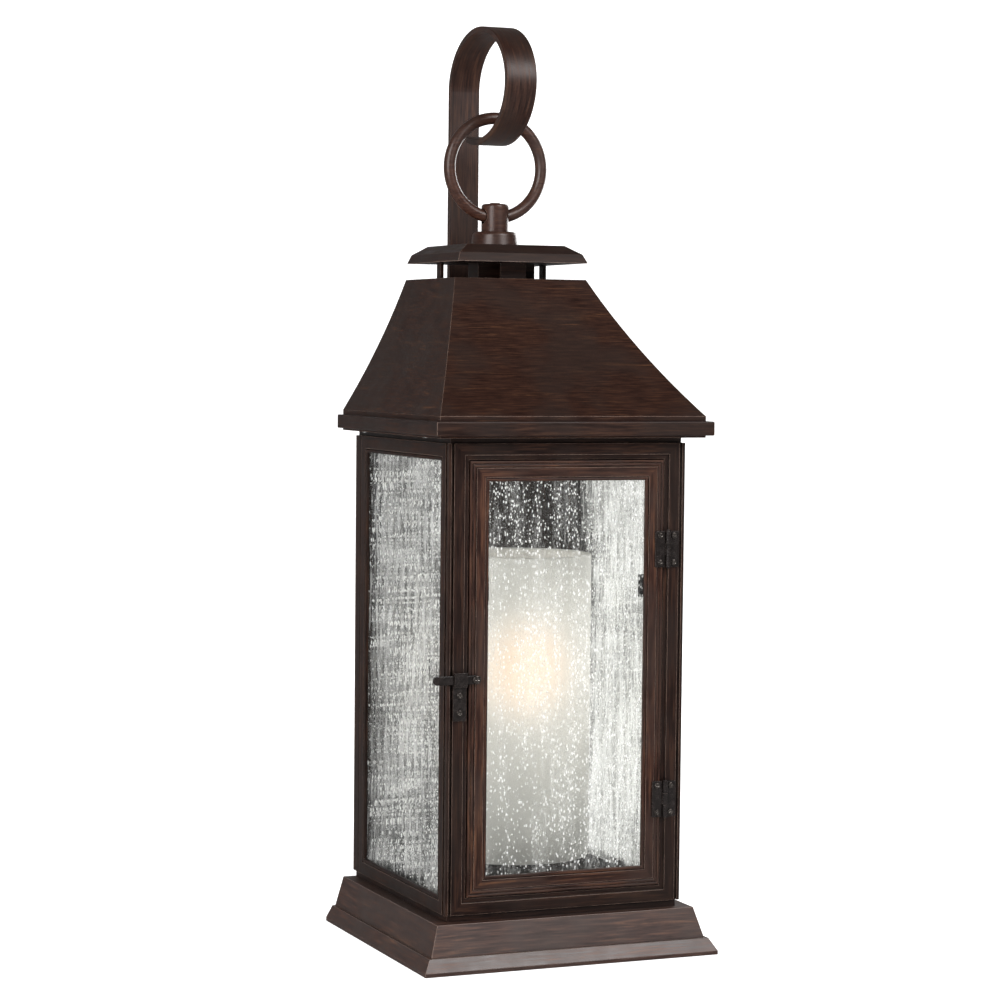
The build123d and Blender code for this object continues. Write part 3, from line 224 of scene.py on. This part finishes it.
def bronze(name, kind, box=None, warm=0.4, light=1.0, rough=0.4, streak=1.0, edge_wear_highlight=1.0,
           close=1.0, sheen=0.30):
    """Hand-rubbed dark bronze: streaks, copper showing through, rubbed arrises with a
    painted highlight on them, and painted shade in recesses.

    warm is how much copper shows, light scales every tone, streak is the
    streaks' contrast, edge_wear_highlight the rubbed edges and their painted highlight,
    and sheen the surface's gloss level.
    """
    s = Shader(name)
    space = grain_space(s, kind, box, close)
    fine = s.noise(1.0, 4.0, 0.62, where=space, distortion=0.15)
    broad = s.noise((0.22, 0.22, 0.22), 3.0, 0.55, where=space)
    patch = s.noise(17.0, 3.0, 0.5)
    cloud = s.noise(55.0, 4.0, 0.6)

    deep = tuple(light * v for v in (0.0085, 0.0028, 0.0020))
    brown = tuple(light * v for v in (0.034, 0.0135, 0.0088))
    worn = tuple(light * v for v in (0.072, 0.030, 0.0160))
    copper = tuple(light * v for v in (0.120, 0.052, 0.024))
    ash = tuple(light * v for v in (0.030, 0.0185, 0.0150))

    tone = s.remap(fine, 0.5 - 0.30 / streak, 0.5 + 0.30 / streak)
    colour = s.ramp(tone, ((0.0, deep), (0.55, brown), (1.0, worn)))
    colour = s.mix(s.remap(patch, 0.42, 0.62, 0.0, 0.6), colour, ash)
    shows = s.math("MULTIPLY", s.remap(broad, 0.53, 0.72), s.remap(fine, 0.46, 0.66, 0.1, warm))
    shows = s.math("MULTIPLY", shows, s.remap(cloud, 0.38, 0.6, 0.25, 1.0))
    colour = s.mix(shows, colour, copper)
    specks = s.remap(s.noise(900.0, 2.0, 0.5), 0.66, 0.74, 0.0, 0.6)
    colour = s.mix(specks, colour, deep)

    # Rubbed arrises: partly wear, partly a painted highlight, a pale colour laid along every edge
    # the bevel finds, where a glint would run.
    bevel = s.add("Bevel", {"Radius": 0.7 * MM}, samples=4).outputs["Normal"]
    true = s.add("NewGeometry").outputs["Normal"]
    edge = s.math("SUBTRACT", 1.0, s.vector("DOT_PRODUCT", bevel, true))
    rubbed_edge_highlight = s.math("MULTIPLY", s.remap(edge, 0.02, 0.16, 0.0, 0.95 * edge_wear_highlight),
                    s.remap(cloud, 0.34, 0.5, 0.45, 1.0))
    shelter = s.add("AmbientOcclusion", {"Distance": 8 * MM}, samples=6).outputs["AO"]
    rubbed_edge_highlight = s.math("MULTIPLY", rubbed_edge_highlight, s.remap(shelter, 0.55, 0.8), clamp=True)
    colour = s.mix(rubbed_edge_highlight, colour, BARE_METAL_HIGHLIGHT)
    # Painted shade: the occlusion mask darkens recesses, gaps and the undersides of overhangs to
    # near-black, where shade falls.
    colour = s.mix(s.remap(shelter, 0.12, 0.6, 0.95, 0.0), colour, RECESS_SHADE)

    streaky = s.remap(fine, 0.3, 0.7, rough - 0.06, rough + 0.07, smooth=False)
    cloudy = s.remap(cloud, 0.3, 0.7, -0.04, 0.04, smooth=False)
    roughness = s.math("ADD", streaky, cloudy)
    height = s.math("ADD", s.math("MULTIPLY", fine, 0.7), s.math("MULTIPLY", cloud, 0.5))
    bump = s.bump(0.20, 0.25 * MM, height, bevel)
    surface = s.add("BsdfPrincipled", {
        "Base Color": colour,
        "Metallic": 0.10,
        "Roughness": roughness,
        "Specular IOR Level": sheen,
        "Normal": bump,
    })
    return s.finish(surface.outputs[0])


def hardware(name, colour, metallic, rough, worn):
    """Cast or turned fittings: one blackened or plated metal, rubbed at its edges, where the pale
    edge colour is partly wear and partly a painted highlight.
    """
    s = Shader(name)
    cloud = s.noise(260.0, 4.0, 0.6)
    fine = s.noise(1500.0, 3.0, 0.6)
    dull, bright = tuple(0.7 * v for v in colour), tuple(1.25 * v for v in colour)
    tone = s.mix(s.remap(cloud, 0.35, 0.65), dull, bright)
    bevel = s.add("Bevel", {"Radius": 0.3 * MM}, samples=4).outputs["Normal"]
    true = s.add("NewGeometry").outputs["Normal"]
    edge = s.math("SUBTRACT", 1.0, s.vector("DOT_PRODUCT", bevel, true))
    # Pale edges: partly wear, partly a painted highlight along every edge the bevel finds.
    tone = s.mix(s.remap(edge, 0.03, 0.25, 0.0, 0.75), tone, worn)
    roughness = s.remap(cloud, 0.3, 0.7, rough - 0.06, rough + 0.08, smooth=False)
    surface = s.add("BsdfPrincipled", {
        "Base Color": tone,
        "Metallic": metallic,
        "Roughness": roughness,
        "Normal": s.bump(0.25, 0.1 * MM, fine, bevel),
    })
    return s.finish(surface.outputs[0])


# ------------------------------------------------------------- glass and lamp
def seeded_glass(name, haze, speckle, crowd, painted_glint_strength, through_share=0.6,
                 grain=(400.0, 220.0, 40.0)):
    """Thin glass full of small bubbles, drawn out in upright streaks.

    haze is the cover of the fine grain, speckle the cover of one small bubble,
    crowd the share of cells with a bubble outside and inside a streak, and
    painted_glint_strength the strength of a painted glint: emission that makes
    the bubbles glow as if they caught light.
    """
    s = Shader(name)
    spread = s.noise((110.0, 80.0, 8.0), 3.0, 0.6)
    streak = s.remap(spread, 0.42, 0.60)
    drawn_out = s.vector("MULTIPLY", s.coord, (1.0, 0.72, 0.50))
    cells = s.add("TexVoronoi", {"Vector": drawn_out, "Scale": 640.0})
    chance, size, _ = s.split(cells.outputs["Color"])
    radius = s.math("MULTIPLY_ADD", s.math("POWER", size, 2.0), 0.42, 0.10)
    from_middle = s.math("DIVIDE", cells.outputs["Distance"], radius)
    dot = s.math("SUBTRACT", 1.0, from_middle, clamp=True)
    has_dot = s.math("LESS_THAN", chance, s.remap(streak, 0.0, 1.0, *crowd))
    dot = s.math("MULTIPLY", s.remap(dot, 0.0, 0.3), has_dot)
    fine = s.noise(grain, 3.0, 0.65)
    veil = s.math("MULTIPLY", s.remap(fine, 0.44, 0.62, 0.10, 1.35),
                  s.remap(streak, 0.0, 1.0, 0.4 * haze, 2.2 * haze))
    cover = s.math("MULTIPLY_ADD", dot, speckle, veil)
    cover = s.math("MINIMUM", cover, 0.97)

    # a slanting sight line passes more bubbles: cover grows as 1 over the cosine
    facing = s.add("LayerWeight", {"Blend": 0.5}).outputs["Facing"]
    path = s.math("DIVIDE", 1.0, s.math("MAXIMUM", s.math("SUBTRACT", 1.0, facing), 0.2))
    clear_share = s.math("POWER", s.math("SUBTRACT", 1.0, cover), path)
    cover = s.math("SUBTRACT", 1.0, clear_share)

    waves = s.noise((70.0, 70.0, 18.0), 2.0, 0.5)
    bump = s.bump(0.25, 0.6 * MM, waves)
    gloss = s.add("BsdfGlossy", {"Color": (1, 1, 1), "Roughness": 0.06, "Normal": bump}).outputs[0]
    through = s.add("BsdfTransparent", {"Color": (0.975, 0.978, 0.97)}).outputs[0]
    mirror = s.add("Fresnel", {"IOR": 1.45, "Normal": bump}).outputs[0]
    clear = s.blend(mirror, through, gloss)
    white = s.add("BsdfDiffuse", {"Color": (0.86, 0.865, 0.85)}).outputs[0]
    lit = s.add("BsdfTranslucent", {"Color": (0.95, 0.955, 0.94)}).outputs[0]
    # Painted glint: emission on the grain and small bubbles, so the glass glows a little with no
    # lamp on it.
    painted_glint = s.add("Emission", {"Color": PAINTED_GLINT_COLOUR, "Strength": painted_glint_strength}).outputs[0]
    grains = s.add("AddShader", {0: s.blend(through_share, white, lit), 1: painted_glint}).outputs[0]
    return s.finish(s.blend(cover, clear, grains))


def bubble_glass(name):
    """The larger bubbles: bright skins, with a painted glint that makes them glow."""
    s = Shader(name)
    wobble = s.noise(800.0, 1.0, 0.5)
    tone = s.mix(s.remap(wobble, 0.3, 0.7), (0.78, 0.785, 0.77), (0.96, 0.96, 0.95))
    skin = s.add("BsdfPrincipled", {
        "Base Color": tone,
        "Roughness": 0.12,
        "Specular IOR Level": 0.8,
    })
    lit = s.add("BsdfTranslucent", {"Color": (0.96, 0.96, 0.95)}).outputs[0]
    body = s.blend(0.5, skin.outputs[0], lit)
    # Painted glint: emission that makes every bubble glow, lit or not.
    painted_glint = s.add("Emission", {"Color": PAINTED_GLINT_COLOUR, "Strength": 0.22}).outputs[0]
    return s.finish(s.add("AddShader", {0: body, 1: painted_glint}).outputs[0])


def frosted_shade(name, glow_at, painted_patch_at):
    """Frosted cylinder: smooth milky glass, with painted glow: emission standing in for the bulb's
    light through it.

    glow_at is the level where the painted glow is strongest, and painted_patch_at the middle of
    the painted warm patch.
    """
    s = Shader(name)
    mottle = s.noise((30.0, 30.0, 14.0), 3.0, 0.5)
    fine = s.noise(700.0, 3.0, 0.6)
    tone = s.mix(s.remap(mottle, 0.35, 0.65), (0.77, 0.77, 0.74), (0.82, 0.82, 0.79))
    tone = s.mix(s.remap(fine, 0.64, 0.76, 0.0, 0.15), tone, (0.68, 0.68, 0.65))
    bump = s.bump(0.12, 0.15 * MM, fine)
    outside = s.add("BsdfPrincipled", {"Base Color": tone, "Roughness": 0.5, "Normal": bump})
    inside = s.add("BsdfTranslucent", {"Color": (0.90, 0.89, 0.86)}).outputs[0]
    # Painted warm patch: emission in a fixed spot on the cylinder's front, standing in for the
    # bulb's hot spot seen through the glass.
    painted_glow = s.remap(s.vector("DISTANCE", s.coord, painted_patch_at), 0.062, 0.010, 0.0, 1.0)
    warm = s.mix(painted_glow, (1.0, 0.985, 0.95), (1.0, 0.70, 0.48))
    # Painted glow: emission strongest at the bulb's level, fading above and below it.
    drop = s.math("ABSOLUTE", s.math("SUBTRACT", s.split(s.coord)[2], glow_at))
    height = s.remap(drop, 140 * MM, 0.0, 0.02, 0.17)
    strength = s.math("MULTIPLY_ADD", painted_glow, 0.22, height)
    light = s.add("Emission", {"Color": warm, "Strength": strength}).outputs[0]
    body = s.blend(0.42, outside.outputs[0], inside)
    return s.finish(s.add("AddShader", {0: body, 1: light}).outputs[0])


def lit_bulb(name):
    """Opal bulb, switched on low."""
    s = Shader(name)
    mottle = s.noise(60.0, 3.0, 0.5)
    warm = s.mix(s.remap(mottle, 0.3, 0.7), (1.0, 0.66, 0.36), (1.0, 0.74, 0.46))
    surface = s.add("BsdfPrincipled", {
        "Base Color": (0.9, 0.87, 0.8),
        "Roughness": 0.25,
        "Emission Color": warm,
        "Emission Strength": 0.35,
    })
    return s.finish(surface.outputs[0])


def glazed(name, colour, rough):
    """Fired or moulded pieces: a clean body with faint mottling."""
    s = Shader(name)
    mottle = s.noise(180.0, 4.0, 0.6)
    tone = s.mix(s.remap(mottle, 0.35, 0.65), tuple(0.86 * v for v in colour), colour)
    bump = s.bump(0.15, 0.1 * MM, s.noise(900.0))
    roughness = s.remap(mottle, 0.3, 0.7, rough - 0.06, rough + 0.06, smooth=False)
    surface = s.add("BsdfPrincipled", {"Base Color": tone, "Roughness": roughness, "Normal": bump})
    return s.finish(surface.outputs[0])


def paint(names, material):
    """Give CAD nodes a material."""
    for name in names.split():
        for slot in NODES[name].material_slots:
            slot.material = material


# ------------------------------------------------------------------ finishes
paint("base_foot base_plinth",
      bronze("bronze_base", "level", warm=0.8, light=1.5, rough=0.42, edge_wear_highlight=1.05, sheen=0.9))
paint("eave_band cap_top cap_plate canopy", bronze("bronze_level", "level", light=0.7))
paint("roof_shell",
      bronze("bronze_roof", "level", warm=0.8, light=0.95, rough=0.46, close=1.7, sheen=0.18))
paint("post_front_left post_front_right post_rear_left post_rear_right back_panel",
      bronze("bronze_upright", "upright", warm=0.3, light=0.6, edge_wear_highlight=1.05, sheen=0.25))
for node, side in (("front_frame", "front"), ("left_frame", "side"), ("right_frame", "side")):
    paint(node,
          bronze("bronze_" + node, side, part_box(node), light=0.6, streak=1.3, sheen=0.25))
paint("door_frame",
      bronze("bronze_door_frame", "front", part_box("door_frame"), warm=1.0, light=1.2, streak=1.4,
             sheen=0.25))
paint("crook_strap", bronze("bronze_strap", "along", rough=0.42, sheen=0.35))
paint("ring ring_flange ring_post",
      bronze("bronze_round", "level", warm=0.35, light=1.6, rough=0.34, streak=0.6, sheen=0.45))
paint("head_frame soffit floor_plate vent_brackets vent_baffle wire_channel shade_seat "
      "pane_clips door_clips strap_block",
      bronze("bronze_inside", "level", warm=0.3, light=0.7, edge_wear_highlight=0.5))
paint("upper_door_leaf lower_door_leaf upper_frame_leaf lower_frame_leaf hinge_pins "
      "latch_bar keeper",
      hardware("blackened", (0.017, 0.013, 0.012), 0.2, 0.24, (0.22, 0.17, 0.15)))
# The screws' near-white edge colour is mostly a painted highlight.
paint("door_hinge_screws frame_screws latch_screw canopy_screws",
      hardware("oiled_screws", (0.085, 0.072, 0.065), 0.8, 0.20, (0.80, 0.73, 0.67)))
paint("soffit_screws body_screws base_screws strap_screws tube_nuts rod_nut cap_rod "
      "lamp_tube wall_plate",
      hardware("zinc", (0.42, 0.42, 0.41), 0.9, 0.34, (0.7, 0.7, 0.68)))
paint("socket_shell bulb_cap",
      hardware("brass", (0.55, 0.38, 0.14), 0.95, 0.28, (0.8, 0.62, 0.3)))
paint("lamp_socket terminal_block", glazed("porcelain", (0.78, 0.76, 0.71), 0.22))
paint("lamp_lead", glazed("lead_sheath", (0.035, 0.034, 0.033), 0.5))
# The far pane's copy gets more painted glint than the near ones.
paint("right_pane",
      seeded_glass("seeded_far_glass", haze=0.17, speckle=0.50, crowd=(0.20, 0.60), painted_glint_strength=0.10,
                   through_share=0.75))
paint("left_pane",
      seeded_glass("seeded_glass", haze=0.055, speckle=0.55, crowd=(0.02, 0.60), painted_glint_strength=0.02))
paint("door_glass",
      seeded_glass("seeded_door_glass", haze=0.07, speckle=0.80, crowd=(0.30, 0.85), painted_glint_strength=0.26,
                   grain=(900.0, 900.0, 330.0)))
GLOBE_RADIUS = 30 * MM
# The painted warm patch is fixed on the cylinder's front, at the bulb's level.
PAINTED_PATCH_X = -16 * MM
glow_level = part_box("bulb_glass")[1].z - GLOBE_RADIUS
painted_warm_patch = Vector((PAINTED_PATCH_X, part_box("shade_cylinder")[0].y, glow_level))
paint("shade_cylinder", frosted_shade("frosted_shade", glow_level, painted_warm_patch))
paint("bulb_glass", lit_bulb("lit_bulb"))


# ------------------------------------------------------------------- bubbles
def bubbles(name, node, axis, count, body, material, seed, drawn_out):
    """Bubbles inside a pane: small drawn-out ovals, thicker in upright bands."""
    low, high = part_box(node)
    draw = random.Random(seed)
    across = 1 - axis
    bands = [
        (draw.uniform(low[across], high[across]), draw.uniform(3, 12) * MM)
        for _ in range(BUBBLE_BANDS)
    ]
    template = bmesh.new()
    bmesh.ops.create_icosphere(template, subdivisions=1, radius=1.0)
    corners = [v.co.copy() for v in template.verts]
    faces = [[v.index for v in f.verts] for f in template.faces]
    template.free()
    points, polygons = [], []
    for _ in range(count):
        radius = (BUBBLE_SMALLEST + BUBBLE_SPREAD * draw.random() ** 2.2) * MM
        length = radius * draw.uniform(*drawn_out)
        place = [0.0, 0.0, 0.0]
        nearest, furthest = low[across] + 2 * radius, high[across] - 2 * radius
        if draw.random() < IN_BAND_SHARE:
            middle, spread = draw.choice(bands)
            place[across] = min(max(draw.gauss(middle, spread), nearest), furthest)
        else:
            place[across] = draw.uniform(nearest, furthest)
        place[axis] = draw.uniform(low[axis] + radius * 1.1, high[axis] - radius * 1.1)
        place[2] = draw.uniform(low.z + length, high.z - length)
        tilt = Matrix.Rotation(draw.gauss(0, 0.12), 3, "Y" if axis == 1 else "X")
        start = len(points)
        for corner in corners:
            shaped = Vector((corner.x * radius, corner.y * radius, corner.z * length))
            points.append(Vector(place) + tilt @ shaped)
        polygons += [[start + i for i in face] for face in faces]
    mesh = bpy.data.meshes.new(name)
    mesh.from_pydata(points, [], polygons)
    mesh.polygons.foreach_set("use_smooth", [True] * len(polygons))
    mesh.materials.append(material)
    piece = bpy.data.objects.new(name, mesh)
    bpy.context.scene.collection.objects.link(piece)
    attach(piece, body)
    return piece


seed_glass = bubble_glass("bubble_glass")
bubbles("left_pane_bubbles", "left_pane", 0, 1500, "lantern", seed_glass, 11, (1.2, 4.0))
bubbles("right_pane_bubbles", "right_pane", 0, 1500, "lantern", seed_glass, 12, (1.2, 4.0))
bubbles("door_glass_bubbles", "door_glass", 1, 2600, "door", seed_glass, 13, (1.0, 2.2))


# ---------------------------------------------------------------- the studio
CURVE_STEPS = 12
FLOOR_GAP = 0.3 * MM
WORLD_BASE, WORLD_SEEN = 0.06, 0.94  # light on the object, and added for the camera
PAPER_LIFT, PAPER_MIRRORED = 0.84, 0.78  # emission, and what mirrors don't see of it


def sweep():
    """Pale floor that curves up into a backdrop."""
    floor_z = cad_low.z - FLOOR_GAP
    front, back, height, radius, half = -6.0, 3.2, 4.5, 1.0, 6.0
    profile = [(front, floor_z), (back - radius, floor_z)]
    for step in range(1, CURVE_STEPS + 1):
        angle = math.radians(90 * step / CURVE_STEPS)
        rise = radius * (1 - math.cos(angle))
        profile.append((back - radius + radius * math.sin(angle), floor_z + rise))
    profile.append((back, floor_z + height))
    points = [(x, y, z) for y, z in profile for x in (-half, half)]
    faces = [(2 * i, 2 * i + 1, 2 * i + 3, 2 * i + 2) for i in range(len(profile) - 1)]
    mesh = bpy.data.meshes.new("studio_sweep")
    mesh.from_pydata(points, [], faces)
    mesh.polygons.foreach_set("use_smooth", [True] * len(faces))
    s = Shader("studio_paper")
    rays = s.add("LightPath").outputs
    tone = s.mix(s.noise(3.0), (0.80, 0.80, 0.80), (0.84, 0.84, 0.84))
    tone = s.mix(rays["Is Glossy Ray"], tone, (0.16, 0.16, 0.16))
    paper = s.add("BsdfDiffuse", {"Color": tone}).outputs[0]
    lift = s.math("MULTIPLY_ADD", rays["Is Glossy Ray"], -PAPER_MIRRORED, PAPER_LIFT)
    bright = s.add("Emission", {"Color": (1, 1, 1), "Strength": lift}).outputs[0]
    mesh.materials.append(s.finish(s.add("AddShader", {0: paper, 1: bright}).outputs[0]))
    piece = bpy.data.objects.new("studio_sweep", mesh)
    bpy.context.scene.collection.objects.link(piece)


def softbox(name, place, target, size, power, colour=(1, 1, 1)):
    data = bpy.data.lights.new(name, "AREA")
    data.shape, data.size, data.size_y = "RECTANGLE", size[0], size[1]
    data.energy, data.color = power, colour
    light = bpy.data.objects.new(name, data)
    light.location = place
    light.rotation_mode = "QUATERNION"
    light.rotation_quaternion = (Vector(target) - Vector(place)).to_track_quat("-Z", "Y")
    bpy.context.scene.collection.objects.link(light)


def studio():
    sweep()
    centre = (cad_low + cad_high) / 2
    softbox("key_softbox", (0.85, -2.0, 1.55), centre, (1.2, 1.3), 44)
    softbox("left_softbox", (-1.9, -1.55, 0.85), centre, (1.3, 1.6), 44)
    softbox("right_softbox", (2.0, 1.3, 0.5), centre, (1.2, 1.6), 40)
    world = bpy.data.worlds.new("studio")
    world.use_nodes = True
    nodes, links = world.node_tree.nodes, world.node_tree.links
    rays, level = nodes.new("ShaderNodeLightPath"), nodes.new("ShaderNodeMath")
    level.operation = "MULTIPLY_ADD"
    level.inputs[1].default_value, level.inputs[2].default_value = WORLD_SEEN, WORLD_BASE
    links.new(rays.outputs["Is Camera Ray"], level.inputs[0])
    links.new(level.outputs[0], nodes["Background"].inputs["Strength"])
    nodes["Background"].inputs["Color"].default_value = (1, 1, 1, 1)
    bpy.context.scene.world = world
    bpy.context.scene.view_settings.view_transform = "Standard"


make_camera()
studio()
